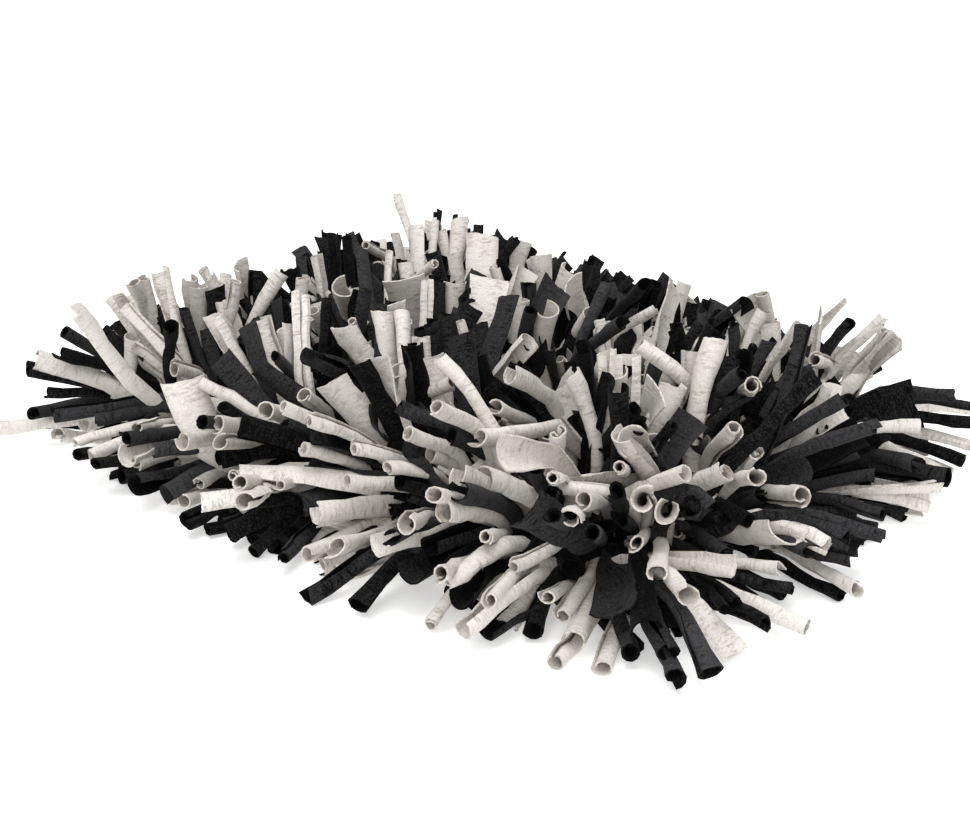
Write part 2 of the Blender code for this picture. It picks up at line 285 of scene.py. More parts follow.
# Strips laid one by one, as seen in the picture: the pixel where each comes out of the pile, the pixel of its
# end, and how many millimetres its end comes nearer to the eye, where it points that way.
handLaid = {
    ("cream", "tube"): (
        (62, 420, 0, 428), (163, 342, 127, 307), (167, 365, 137, 345), (125, 369, 132, 342),
        (146, 299, 135, 287), (150, 301, 144, 281), (252, 308, 279, 276), (273, 352, 262, 318),
        (301, 289, 303, 278), (252, 403, 205, 382), (205, 369, 178, 367, 12), (294, 409, 268, 409, 12),
        (315, 415, 287, 407, 10), (348, 426, 312, 418, 10), (332, 409, 307, 396, 10),
        (216, 432, 184, 441, 8), (167, 419, 136, 425, 8), (115, 413, 85, 424), (108, 428, 83, 440),
        (83, 440, 60, 434), (129, 434, 100, 451), (256, 436, 222, 440, 8), (252, 422, 220, 424, 8),
        (399, 247, 395, 233), (433, 245, 434, 224), (393, 251, 370, 246), (402, 278, 427, 268, 15),
        (503, 289, 496, 268), (566, 335, 587, 314), (616, 325, 646, 314), (473, 386, 445, 363),
        (399, 396, 448, 384), (593, 405, 574, 379), (477, 413, 446, 411, 10), (532, 413, 498, 407, 12),
        (532, 419, 505, 424, 12), (562, 413, 494, 436, 6), (450, 440, 414, 434, 14),
        (402, 451, 362, 447, 10), (461, 457, 433, 449, 14), (589, 457, 557, 430), (686, 365, 653, 353),
        (834, 353, 878, 323), (834, 350, 819, 359, 15), (740, 380, 753, 386, 25), (712, 445, 733, 430, 10),
        (691, 483, 724, 470, 10), (648, 479, 682, 473, 8), (744, 470, 754, 475, 30),
        (766, 487, 802, 496, 14), (859, 422, 909, 424), (895, 441, 939, 468), (872, 492, 922, 504),
        (792, 517, 817, 538), (371, 535, 337, 545, 8), (325, 543, 306, 552, 8), (252, 470, 234, 474, 14),
        (258, 478, 241, 482, 14), (262, 492, 245, 499, 14), (392, 478, 350, 482, 10),
        (424, 467, 390, 467, 10), (329, 451, 304, 448, 8), (424, 514, 407, 522, 10),
        (509, 531, 488, 535, 18), (457, 493, 435, 495, 14), (568, 470, 555, 475, 30),
        (582, 505, 571, 515, 30), (604, 495, 585, 499, 24), (628, 462, 621, 467, 30),
        (655, 492, 642, 497, 30), (648, 533, 636, 543, 24), (672, 566, 686, 592, 6), (583, 638, 556, 667),
        (602, 558, 562, 613), (552, 543, 518, 564, 6), (573, 583, 547, 596, 12), (493, 543, 455, 575, 6),
        (451, 566, 442, 573, 20), (451, 589, 432, 619, 4), (509, 575, 488, 598), (787, 518, 819, 541, 4),
        (815, 562, 855, 587), (747, 596, 806, 625), (160, 450, 138, 460), (204, 494, 183, 499, 4),
        (514, 335, 522, 300), (612, 485, 573, 488), (613, 632, 602, 672),
    ),
    ("cream", "gutter"): (
        (121, 375, 81, 311, 6), (146, 342, 113, 295), (174, 325, 164, 278), (193, 304, 192, 279),
        (201, 325, 201, 287), (174, 438, 127, 457), (416, 255, 414, 232), (454, 251, 457, 224),
        (543, 329, 549, 312, 8), (498, 365, 526, 342, 8), (553, 386, 519, 379, 6), (521, 500, 459, 478),
        (528, 486, 486, 474, 4), (478, 505, 446, 509, 16), (557, 443, 519, 451, 8), (598, 597, 575, 636),
        (520, 585, 509, 621), (491, 602, 472, 623), (653, 469, 623, 438, 8), (642, 451, 625, 436, 8),
        (407, 535, 379, 547, 6), (344, 509, 318, 514, 6), (668, 500, 665, 512, 25), (823, 405, 829, 386),
        (241, 492, 208, 498), (771, 321, 762, 294), (83, 373, 37, 358), (352, 312, 340, 290),
        (705, 369, 718, 342), (245, 362, 215, 318), (404, 358, 402, 318), (385, 352, 383, 312),
        (460, 270, 457, 250), (545, 285, 537, 255),
    ),
    ("cream", "doubleRoll"): (
        (222, 342, 235, 281), (300, 365, 301, 301), (285, 352, 286, 325), (387, 308, 389, 255),
        (610, 386, 606, 352), (629, 388, 627, 354), (863, 355, 888, 332), (663, 537, 657, 568, 8),
        (903, 399, 962, 407), (920, 428, 968, 443), (219, 476, 198, 482), (410, 230, 398, 197),
        (424, 335, 427, 285),
    ),
    ("cream", "oneEdge"): (
        (393, 350, 391, 308), (425, 379, 421, 335), (515, 259, 524, 243), (541, 272, 538, 257),
        (766, 363, 796, 327), (865, 359, 893, 342), (885, 490, 935, 485), (310, 478, 276, 484, 6),
        (509, 295, 526, 272), (760, 564, 781, 566, 6), (322, 290, 316, 256), (238, 330, 222, 300),
        (362, 345, 350, 328, 6), (745, 335, 760, 312), (452, 302, 455, 282), (775, 350, 772, 322),
    ),
    ("cream", "nearlyFlat"): (
        (243, 281, 238, 264), (195, 438, 186, 394), (574, 304, 570, 285), (484, 316, 490, 283),
        (433, 379, 425, 356), (399, 417, 378, 358), (376, 436, 334, 384), (572, 409, 562, 388),
        (642, 419, 658, 390), (657, 325, 672, 294), (819, 344, 821, 315), (821, 321, 840, 306),
        (688, 600, 724, 642), (678, 558, 728, 568, 6), (726, 537, 783, 535), (282, 466, 252, 476, 6),
        (562, 278, 566, 270), (335, 470, 245, 468, 4), (368, 360, 345, 330), (612, 470, 580, 482),
        (412, 308, 405, 280), (481, 274, 483, 240), (470, 345, 462, 322), (765, 330, 745, 305),
    ),
    ("charcoal", "tube"): (
        (94, 348, 65, 331), (89, 356, 63, 354), (138, 339, 119, 327), (163, 367, 171, 330, 12),
        (300, 375, 279, 358, 12), (167, 388, 66, 413), (157, 400, 108, 417), (94, 390, 49, 392),
        (73, 400, 40, 411), (220, 417, 203, 420, 10), (437, 240, 438, 215), (479, 245, 478, 227),
        (492, 250, 491, 235), (336, 278, 331, 238), (351, 281, 347, 241), (530, 308, 529, 283),
        (583, 325, 604, 291), (604, 318, 642, 287), (435, 346, 432, 321), (445, 354, 446, 314),
        (488, 424, 418, 413), (735, 348, 733, 323), (796, 372, 802, 334), (827, 340, 846, 325),
        (749, 441, 811, 378), (766, 435, 836, 403), (720, 382, 735, 378, 10), (890, 380, 939, 393),
        (939, 393, 968, 405), (909, 409, 968, 422), (880, 449, 914, 462, 4), (914, 468, 947, 475),
        (914, 435, 958, 458), (851, 502, 880, 513, 4), (825, 511, 872, 532), (792, 513, 838, 536),
        (361, 560, 318, 592), (392, 564, 361, 600), (281, 524, 255, 552), (306, 526, 283, 554),
        (245, 522, 232, 535), (693, 526, 726, 552, 10), (714, 495, 743, 518, 10), (811, 522, 840, 539),
        (789, 535, 808, 549, 8), (794, 568, 836, 606), (653, 621, 676, 674), (680, 600, 705, 659),
        (640, 418, 639, 424, 24), (480, 438, 456, 436), (575, 344, 616, 326), (684, 348, 676, 328),
        (600, 440, 632, 408), (770, 455, 832, 440), (820, 436, 866, 428), (598, 533, 590, 530, 24),
        (628, 523, 620, 518, 24), (562, 496, 552, 489, 20), (563, 521, 552, 514, 22),
        (622, 500, 616, 491, 22), (697, 511, 690, 505, 24), (382, 338, 381, 309), (540, 590, 533, 628),
        (618, 625, 632, 650), (440, 312, 439, 283), (750, 364, 768, 342), (262, 448, 220, 458),
        (176, 430, 128, 438), (105, 452, 80, 452), (122, 462, 98, 462), (140, 472, 122, 474),
        (512, 280, 500, 262), (522, 335, 530, 315), (335, 497, 255, 497), (655, 445, 672, 425),
    ),
    ("charcoal", "gutter"): (
        (125, 350, 103, 331), (214, 310, 213, 289), (258, 358, 247, 327), (336, 274, 330, 239),
        (372, 308, 364, 255), (469, 384, 465, 339), (391, 419, 357, 365), (454, 308, 475, 274),
        (304, 438, 252, 426), (553, 270, 564, 262), (583, 272, 589, 264), (703, 344, 714, 327),
        (339, 491, 293, 501), (213, 459, 167, 491), (663, 484, 695, 499), (819, 481, 870, 470),
        (498, 253, 511, 243), (540, 368, 533, 345), (515, 404, 490, 386), (420, 362, 414, 342),
        (372, 366, 332, 361), (418, 462, 410, 447), (425, 485, 402, 478), (505, 500, 460, 490),
        (572, 548, 524, 534, 8), (622, 428, 617, 387, 6), (470, 540, 410, 575), (478, 580, 462, 600),
        (565, 338, 572, 312), (460, 325, 470, 304), (354, 328, 363, 292), (655, 298, 668, 277),
        (645, 308, 655, 283), (738, 378, 744, 357), (745, 487, 806, 468, 6), (640, 590, 668, 650),
        (212, 362, 207, 330), (350, 365, 315, 361), (250, 392, 222, 362), (350, 440, 315, 430),
        (182, 442, 160, 448), (268, 505, 232, 528), (158, 480, 135, 482), (712, 318, 740, 304),
        (644, 562, 647, 620, 10), (444, 280, 433, 252), (430, 520, 392, 535), (480, 525, 430, 545),
        (566, 548, 573, 568), (520, 612, 483, 630),
    ),
    ("charcoal", "doubleRoll"): (
        (83, 375, 31, 368), (193, 335, 184, 307), (213, 509, 188, 520), (591, 373, 585, 350),
        (695, 575, 731, 604), (737, 604, 764, 619),
    ),
    ("charcoal", "oneEdge"): (
        (551, 365, 545, 345), (593, 443, 576, 417), (758, 579, 794, 587), (467, 318, 465, 300),
    ),
    ("charcoal", "nearlyFlat"): (
        (617, 552, 617, 608, 12), (585, 535, 535, 512, 12), (416, 306, 416, 285), (414, 384, 408, 365),
        (385, 430, 374, 419), (486, 346, 505, 299), (600, 405, 610, 380), (372, 455, 336, 432),
        (538, 312, 552, 292), (665, 440, 690, 418), (705, 412, 752, 392), (865, 405, 905, 398),
        (283, 334, 277, 298), (322, 352, 326, 298), (300, 395, 262, 372),
    ),
}
laying = {
    "reach": 0.007,  # how near to a line of sight a strip is met
    "above": 0.006,  # a listed strip lies this far in front of those that it is laid on
    "under": 0.009,  # and comes out from this far behind them
    "highest": 0.098,
    "nearest": 0.022,  # its end is at most this much nearer than where it comes out
    "farthest": 0.012,
    "span": 0.026,  # and never further behind than this
    "longest": 0.106,  # a strip that would be longer comes out from deeper in the pile
    "deeper": 0.003,  # in steps of this
    "tries": 14,
    "clear": 0.0105,  # other strips slip behind it where they are within this of the line of sight
    "slip": 0.055,  # if they need not move further than this
    "slipFrom": 2,  # their first points hold still
    "slipPlaces": (0.25, 0.45, 0.65, 0.85, 1.0),  # where along its shown part they are looked for
    "bend": 0.35,  # how soon it turns from its root towards where it comes out
    "curvePoints": 24,
    "detour": 1.12,  # the length of that way, as a share of the straight line
    "turnCost": 0.010,  # metres of wrong length that a sharp bend where it comes out is worth
    "wish": 0.24,
}


def layByHand(roots, paths):
    # finds for each listed strip where it comes out, where it ends, and the root that suits it best
    rows = [(colour, form, (row + (0,))[:5]) for (colour, form), places in handLaid.items() for row in places]
    seen = np.array([row for _, _, row in rows], dtype=float)
    cloud = paths[:, pile["points"] // 3 :].reshape(-1, 3) - eye  # the outer two thirds of each strip
    cloudDepth = cloud @ -away
    places = []
    for pixels in (seen[:, 0:2], seen[:, 2:4]):
        lines = sightLines(pixels)
        depth = np.full(len(lines), np.nan)
        for n, line in enumerate(lines):
            off = norm(cloud - line * cloudDepth[:, None], axis=1)
            met = off < laying["reach"]
            if met.any():
                depth[n] = cloudDepth[met].min()
            elif not places:
                depth[n] = cloudDepth[off.argmin()]
        if places:
            depth = np.where(np.isnan(depth), places[0][1], depth)
            depth = np.clip(depth, places[0][1] - laying["nearest"], places[0][1] + laying["farthest"])
        places.append((lines, depth))
    (fromLines, fromDepth), (toLines, toDepth) = places
    lowEnough = (laying["highest"] - eye[2]) / np.minimum(toLines[:, 2], -1e-6)
    toDepth = np.maximum(toDepth - laying["above"] - seen[:, 4] / 1000, lowEnough)
    fromDepth = np.maximum(fromDepth + laying["under"], toDepth - laying["span"])
    ends = eye + toLines * toDepth[:, None]
    for _ in range(laying["tries"]):
        comesOut = eye + fromLines * fromDepth[:, None]
        shown = norm(ends - comesOut, axis=1)
        tooLong = (comesOut[:, 2] + shown > laying["longest"]) & (shown < laying["longest"] / 2)
        fromDepth[tooLong] += laying["deeper"]
    free = np.ones(len(roots), bool)
    start, usual = tiedIn(roots), np.mean(pile["stripLength"])
    laid = {}
    for n in np.argsort(norm(comesOut[:, :2], axis=1))[::-1]:
        hidden = comesOut[n] - start
        shown = ends[n] - comesOut[n]
        far = norm(hidden, axis=1)
        out = norm(shown)
        bend = 1 - hidden @ shown / np.maximum(far * out, 1e-9)
        wrong = np.abs(laying["detour"] * far + out - usual) + laying["turnCost"] * bend
        wrong[~free] = np.inf
        root = int(wrong.argmin())
        free[root] = False
        laid[root] = (*rows[n][:2], comesOut[n], ends[n])
    return laid


def laidPath(root, comesOut, end):
    # up from the root, round to where the strip comes out, and straight on to its end
    start = tiedIn(root[None])[0]
    far = norm(comesOut - start)
    shown = (end - comesOut) / max(norm(end - comesOut), 1e-6)
    first = start + (upward + (comesOut - start) / far) * far * laying["bend"] / 2
    last = comesOut - shown * far * laying["bend"]
    t = np.linspace(0, 1, laying["curvePoints"])[:, None]
    curve = (1 - t) ** 3 * start + 3 * t * (1 - t) ** 2 * first
    curve = curve + 3 * t**2 * (1 - t) * last + t**3 * comesOut
    line = np.concatenate([curve, end[None]])
    run = np.concatenate([[0], np.cumsum(norm(np.diff(line, axis=0), axis=1))])
    at = np.linspace(0, run[-1], pile["points"])
    return np.stack([np.interp(at, run, line[:, k]) for k in range(3)], 1), run[-1]


def giveWay(paths, laid):
    # the other strips slip behind the shown part of each listed one
    others, first = np.setdiff1d(np.arange(len(paths)), list(laid)), laying["slipFrom"]
    points = paths[others, first:].reshape(-1, 3) - eye
    depth = points @ -away
    seen = points / depth[:, None]
    shift = np.zeros(len(points))
    for _, _, comesOut, end in laid.values():
        for share in laying["slipPlaces"]:
            place = comesOut + (end - comesOut) * share - eye
            far = place @ -away
            beside = norm(seen - place / far, axis=1) * far
            short = far + laying["clear"] - depth
            inFront = (beside < laying["clear"]) & (short > 0) & (short < laying["slip"])
            shift[inFront] = np.maximum(shift[inFront], short[inFront])
    moved = paths.copy()
    moved[others, first:] += (seen * shift[:, None]).reshape(len(others), -1, 3)
    moved[..., 2] = np.maximum(moved[..., 2], backingHigh[2])
    return moved


# How a cut jersey strip rolls up: the turn of its cross-section from one edge to the other.
jersey = {
    "width": (0.0182, 0.0242),  # of the strip as it was cut
    "thickness": 0.0008,
    "across": 12,  # mesh points from edge to edge
    "along": 9,  # and from root to tip, closer together towards the tip
    "crowding": 0.76,
    "pinch": 0.40,  # the gathered root, as a share of the full width
    "pinchedTo": 0.42,  # how far along the strip it is gathered
    "slant": 0.13,  # of the cut across its end, in slope
    "slantFrom": 0.75,
    "ragged": 0.016,
    "flareFrom": 0.55,  # where along it its end begins to open
    "bell": 0.11,  # how much wider the very end may be
    "bellFrom": 0.82,
    "unevenRoll": 0.045,  # how much tighter or looser it is rolled from place to place
    "squash": (0.82, 1.12),  # no roll is quite round
    "crumple": 0.085,  # radians
    "twist": 0.35,  # radians, from its root to its end
    "faceVaries": (0.45, 1.6),  # radians, of a strip that lies, and more for one that stands
    "swelling": 0.030,
    "wander": 0.00025,
    "offFloor": 0.0002,
    "hollowTurn": (2.8, 3.2),  # painted shade in a hollow begins at this turn, and is full this much later
    "sharpEdge": math.radians(50),
}
# Each form has its share of the strips, its turn in radians, how far its end opens again, and its girth.
forms = {
    "tube": {"share": 0.34, "turn": (6.1, 7.7), "flare": (-0.06, 0.30), "girth": 0.98},
    "gutter": {"share": 0.25, "turn": (3.9, 5.7), "flare": (-0.10, 0.40), "girth": 1.05},
    "doubleRoll": {"share": 0.19, "turn": (4.1, 5.4), "flare": (-0.06, 0.35), "girth": 1.05},
    "oneEdge": {"share": 0.12, "turn": (4.5, 6.2), "flare": (0.0, 0.50), "girth": 1.10},
    "nearlyFlat": {"share": 0.10, "turn": (2.5, 3.9), "flare": (0.0, 0.9), "girth": 1.10},
}
girthVaries = 0.06


def rollTurn(form, turn, s):
    # the direction of the cloth at each point across, from 0 in its middle; s runs from -1 to 1
    if form == "tube":
        return turn / 2 * s * (1 + 0.16 * (s + 1))  # tighter towards one edge, which lies inside
    if form == "gutter":
        return turn / 2 * s
    if form == "doubleRoll":
        flat = 0.20
        edge = np.clip((np.abs(s) - flat) / (1 - flat), 0, 1)
        return np.sign(s) * (turn * (0.80 * edge + 0.20 * edge**2) + 0.10 * np.abs(s))
    if form == "oneEdge":
        edge = np.clip((s + 0.1) / 1.1, 0, 1)
        return 0.5 * s + turn * (0.75 * edge + 0.25 * edge**2)
    return turn / 2 * np.sign(s) * np.abs(s) ** 1.4


def resample(paths, shares):
    # smooth points along each settled path, through its own points
    points = paths.shape[1]
    at = shares * (points - 1)
    n = np.clip(np.floor(at).astype(int), 0, points - 2)
    t = (at - n)[None, :, None]
    a, b, c, d = (paths[:, np.clip(n + k, 0, points - 1)] for k in (-1, 0, 1, 2))
    return 0.5 * (2 * b + (c - a) * t + (2 * a - 5 * b + 4 * c - d) * t**2 + (3 * b - 3 * c + d - a) * t**3)


def facingTurn(formNames, tangent, side, up):
    # a tube may be turned any way; a wider form lies with its face or its back up
    middle = jersey["along"] // 2
    t, across, over = tangent[:, middle], side[:, middle], up[:, middle]
    sky = upward - t[:, 2:3] * t
    facing = np.arctan2(-(sky * across).sum(1), (sky * over).sum(1))
    facing += np.where(rng.random(len(t)) < 0.5, 0.0, math.pi)
    lying, standing = jersey["faceVaries"]
    facing += rng.normal(0, 1, len(t)) * (lying + standing * np.abs(t[:, 2]) ** 3)
    return np.where(formNames == "tube", rng.uniform(0, math.tau, len(t)), facing)


def rollStrips(paths, length, width, formNames, turn, flare):
    # every strip as a thin sheet rolled along its path: both faces, its edges and its two ends
    strips = len(paths)
    acrossCount, alongCount = jersey["across"], jersey["along"]
    shares = np.linspace(0, 1, alongCount) ** jersey["crowding"]
    line = resample(paths, shares)
    line[:, 2:] += rng.normal(0, jersey["wander"], line[:, 2:].shape)
    tangent = unit(np.gradient(line, axis=1))
    side = np.zeros_like(tangent)
    side[:, 0] = unit(np.cross(tangent[:, 0], (0.31, 0.95, 0.02)))  # any direction that no strip starts in
    for n in range(1, alongCount):
        carried = side[:, n - 1] - (side[:, n - 1] * tangent[:, n]).sum(1, keepdims=True) * tangent[:, n]
        side[:, n] = unit(carried)
    up = np.cross(tangent, side)
    twist = facingTurn(formNames, tangent, side, up)[:, None]
    twist = twist + rng.normal(0, jersey["twist"], strips)[:, None] * (shares[None, :] - 0.5)
    cos, sin = np.cos(twist)[..., None], np.sin(twist)[..., None]
    side, up = side * cos + up * sin, up * cos - side * sin

    s = np.linspace(-1, 1, acrossCount)
    turnAt = np.stack([rollTurn(form, angle, s) for form, angle in zip(formNames, turn)])
    uneven = rng.normal(0, jersey["unevenRoll"], (strips, alongCount)) * smoothStep(0.1, 0.4, shares)
    curl = 1 - flare[:, None] * smoothStep(jersey["flareFrom"], 1.0, shares)[None, :] + uneven
    size = jersey["pinch"] + (1 - jersey["pinch"]) * smoothStep(0.0, jersey["pinchedTo"], shares)
    bell = smoothStep(jersey["bellFrom"], 1.0, shares)
    size = size * (1 + rng.uniform(0, jersey["bell"], (strips, 1)) * bell)
    size *= 1 + rng.normal(0, jersey["swelling"], size.shape)
    angle = turnAt[:, None, :] * curl[:, :, None]
    angle += rng.normal(0, jersey["crumple"], angle.shape)
    between = 0.5 * (angle[..., 1:] + angle[..., :-1])
    step = (width / (acrossCount - 1))[:, None, None]
    x, y = (np.pad(np.cumsum(part(between) * step, 2), ((0, 0), (0, 0), (1, 0))) for part in (np.cos, np.sin))
    squash = rng.uniform(*jersey["squash"], (strips, 1, 1))
    x = (x - x.mean(2, keepdims=True)) * size[:, :, None] * squash
    y = (y - y.mean(2, keepdims=True)) * size[:, :, None] / squash
    half = jersey["thickness"] / 2
    offsetX, offsetY = -np.sin(angle) * half, np.cos(angle) * half
    slant = rng.normal(0, jersey["slant"], (strips, 1)) * s[None, :]
    slant = slant + rng.normal(0, jersey["ragged"], (strips, acrossCount))
    atEnd = smoothStep(jersey["slantFrom"], 1.0, shares)[None, :, None]
    cut = slant[:, None, :] * width[:, None, None] / 2 * atEnd
    faces = []
    for sign in (1, -1):
        place = line[:, :, None] + side[:, :, None] * (x + sign * offsetX)[..., None]
        place += up[:, :, None] * (y + sign * offsetY)[..., None] + tangent[:, :, None] * cut[..., None]
        faces.append(place)
    corners = np.stack(faces, 1)  # strip, face, along, across
    corners[..., 2] = np.maximum(corners[..., 2], jersey["offFloor"])
    cloth = np.stack(np.broadcast_arrays(s[None, None] * width[:, None, None] / 2,
                                         shares[None, :, None] * length[:, None, None]), -1)
    # painted shade: the inner face is darkened where the roll closes into a hollow, more the tighter it is
    # rolled
    opens, over = jersey["hollowTurn"]
    closed = np.clip((turn[:, None] * curl - opens) / over, 0, 1)[:, :, None] * np.ones(acrossCount)
    paintedHollowShade = np.stack([closed, np.zeros_like(closed)], 1)  # only the inner face lies in the hollow
    return corners, cloth, paintedHollowShade


def closedSheet(upper, lower):
    # the quads of a thin sheet, over its two faces, its two long edges and its two ends
    grids = [
        (upper[:-1, :-1], upper[:-1, 1:], upper[1:, 1:], upper[1:, :-1]),
        (lower[:-1, :-1], lower[1:, :-1], lower[1:, 1:], lower[:-1, 1:]),
        (upper[:-1, 0], upper[1:, 0], lower[1:, 0], lower[:-1, 0]),
        (upper[1:, -1], upper[:-1, -1], lower[:-1, -1], lower[1:, -1]),
        (upper[0, 1:], upper[0, :-1], lower[0, :-1], lower[0, 1:]),
        (upper[-1, :-1], upper[-1, 1:], lower[-1, 1:], lower[-1, :-1]),
    ]
    return [np.stack(grid, -1).reshape(-1, 4) for grid in grids]


def fill(items, key, values, kind=np.float32):
    items.foreach_set(key, np.ravel(values).astype(kind))


def makeMesh(name, corners, cloth, paintedHollowShade, tone, material):
    strips, perStrip = len(corners), corners[0, ..., 0].size
    quads = closedSheet(*np.arange(perStrip).reshape(corners.shape[1:4]))
    isCut = np.concatenate([np.full(len(part), float(n > 1)) for n, part in enumerate(quads)])
    faces = (np.concatenate(quads)[None] + (np.arange(strips) * perStrip)[:, None, None]).reshape(-1, 4)
    mesh = bpy.data.meshes.new(name)
    mesh.vertices.add(strips * perStrip)
    fill(mesh.vertices, "co", corners)
    mesh.loops.add(faces.size)
    fill(mesh.loops, "vertex_index", faces, np.int32)
    mesh.polygons.add(len(faces))
    fill(mesh.polygons, "loop_start", np.arange(0, faces.size, 4), np.int32)
    mesh.update(calc_edges=True)
    twoFaces = np.repeat(cloth[:, None], 2, 1).reshape(-1, 2)
    fill(mesh.uv_layers.new(name="cloth").data, "uv", twoFaces[faces.ravel()])
    for label, domain, values in (("stripTone", "POINT", np.repeat(tone, perStrip)),
                                  ("paintedHollowShade", "POINT", paintedHollowShade), ("cutEdge", "FACE", np.tile(isCut, strips))):
        fill(mesh.attributes.new(label, "FLOAT", domain).data, "value", values)
    mesh.materials.append(material)
    mesh.shade_smooth()
    mesh.set_sharp_from_angle(angle=jersey["sharpEdge"])
    return addObject(name, mesh)


def linear(hexColour):
    values = [int(hexColour[n : n + 2], 16) / 255 for n in (1, 3, 5)]
    return tuple(v / 12.92 if v <= 0.04045 else ((v + 0.055) / 1.055) ** 2.4 for v in values) + (1.0,)


def setSockets(node, values):
    for name, value in values.items():
        node.inputs[name].default_value = value


def addNode(tree, kind, settings=None, **links):
    # one node, its settings, and what feeds each of its inputs: a node's first output, or the one given
    node = tree.nodes.new("ShaderNode" + kind)
    for name, value in (settings or {}).items():
        if isinstance(name, int) or name in node.inputs:
            node.inputs[name].default_value = value
        else:
            setattr(node, name, value)
    for name, source in links.items():
        source = source.outputs[0] if isinstance(source, bpy.types.Node) else source
        tree.links.new(source, node.inputs[int(name[1:]) if name[1:].isdigit() else name])
    return node


def clothMaterial(name, look):
    material = bpy.data.materials.new(name)
    material.use_nodes = True
    tree = material.node_tree
    shader = tree.nodes["Principled BSDF"]
    setSockets(shader, {"Roughness": look["roughness"], "Specular IOR Level": look["specular"],
                        "Sheen Weight": look["sheen"], "Sheen Roughness": 0.5})
    return material, tree, shader


# Cotton jersey, cut across its width so that it rolls up: matt, with a faint nap. The knit is too fine to
# show, so what the eye sees is a grain, and fine creases that run across a strip in short broken lines.
# Two of the shares are painted shade: darker in the fine creases, and on the inner face inside a tight roll.
jerseyLooks = {
    "cream": {"colour": "#DDD9D4", "shade": "#857C71", "roughness": 0.93, "specular": 0.15,
              "sheen": 0.06, "grainScale": 1.3, "grain": 0.30,
              "creaseAndShade": 0.46, "tones": 0.10, "edge": 0.20, "paintedHollowShade": 0.28},
    "charcoal": {"colour": "#414042", "shade": "#020202", "roughness": 0.94, "specular": 0.09,
                 "sheen": 0.02, "grainScale": 1.1, "grain": 0.50,
                 "creaseAndShade": 0.40, "tones": 0.80, "edge": 0.30, "paintedHollowShade": 0.66},
}


def jerseyMaterial(name, look):
    material, tree, shader = clothMaterial(name, look)
    tone, cutEdge, paintedHollowShade = (addNode(tree, "Attribute", {"attribute_name": attribute})
                             for attribute in ("stripTone", "cutEdge", "paintedHollowShade"))
    uv = addNode(tree, "UVMap", {"uv_map": "cloth"})
    # millimetres on the cloth, somewhere else for each strip
    flat = addNode(tree, "VectorMath", {"operation": "SCALE", "Scale": 1000.0}, _0=uv)
    offset = addNode(tree, "VectorMath", {"operation": "MULTIPLY", 1: (310.0, 970.0, 530.0)},
                     _0=tone.outputs["Vector"])
    cloth = addNode(tree, "VectorMath", {"operation": "ADD"}, _0=flat, _1=offset)
    # what bends the creases out of line: 1.2 mm over some 9 mm
    drift = addNode(tree, "TexNoise", {"Scale": 0.11, "Detail": 2.0}, Vector=cloth)
    drifted = addNode(tree, "VectorMath", {"operation": "MULTIPLY_ADD", 1: (4.0, 4.0, 4.0)},
                      _0=drift.outputs["Color"], _2=cloth)
    # fine creases, some 1.5 mm apart and 6 mm long
    fine = addNode(tree, "Mapping", {"Scale": (0.16, 0.72, 1.0)}, _0=drifted)
    fineNoise = addNode(tree, "TexNoise", {"Scale": 1.0, "Detail": 2.5, "Roughness": 0.6}, Vector=fine)
    creaseLine = addNode(tree, "MapRange", {"From Min": 0.47, "From Max": 0.66}, _0=fineNoise)
    # they gather in places some 10 mm apart
    gather = addNode(tree, "TexNoise", {"Scale": 0.10, "Detail": 1.0}, Vector=cloth)
    gathered = addNode(tree, "MapRange", {"From Min": 0.38, "From Max": 0.58, "To Min": 0.25}, _0=gather)
    # where the creases are, for their bump and for the painted shade in them
    creaseAndShade = addNode(tree, "Math", {"operation": "MULTIPLY"}, _0=creaseLine, _1=gathered)
    # soft folds, some 7 mm apart
    fold = addNode(tree, "Mapping", {"Scale": (0.05, 0.14, 1.0)}, _0=drifted)
    foldNoise = addNode(tree, "TexNoise", {"Scale": 1.0, "Detail": 2.0, "Roughness": 0.55}, Vector=fold)
    # the grain of the cloth, coarser than it is so that it shows
    grain = addNode(tree, "TexNoise", {"Scale": look["grainScale"], "Detail": 3.0, "Roughness": 0.75},
                    Vector=cloth)
    dark = addNode(tree, "MapRange",
                   {"From Min": 0.36, "From Max": 0.64, "To Min": look["grain"], "To Max": 0.0}, _0=grain)
    # a darker strip and a cut edge darken it, and a crease and a hollow darken it as painted shade, each by
    # their share
    for share, source in (("creaseAndShade", creaseAndShade), ("tones", tone.outputs["Fac"]),
                          ("edge", cutEdge.outputs["Fac"]), ("paintedHollowShade", paintedHollowShade.outputs["Fac"])):
        dark = addNode(tree, "Math",
                       {"operation": "MULTIPLY_ADD", "use_clamp": True, 1: look[share]}, _0=source, _2=dark)
    colour = addNode(tree, "Mix",
                     {"data_type": "RGBA", 6: linear(look["colour"]), 7: linear(look["shade"])}, _0=dark)
    tree.links.new(colour.outputs[2], shader.inputs["Base Color"])
    foldBump = addNode(tree, "Bump", {"Strength": 0.40, "Distance": 0.0012}, Height=foldNoise)
    creaseBump = addNode(tree, "Bump", {"Strength": 0.35, "Distance": 0.0004, "invert": True},
                         Height=creaseAndShade, Normal=foldBump)
    grainBump = addNode(tree, "Bump", {"Strength": 0.35, "Distance": 0.0002}, Height=grain, Normal=creaseBump)
    tree.links.new(grainBump.outputs[0], shader.inputs["Normal"])
    return material


jerseyMaterials = {name: jerseyMaterial(f"{name}CottonJersey", look) for name, look in jerseyLooks.items()}

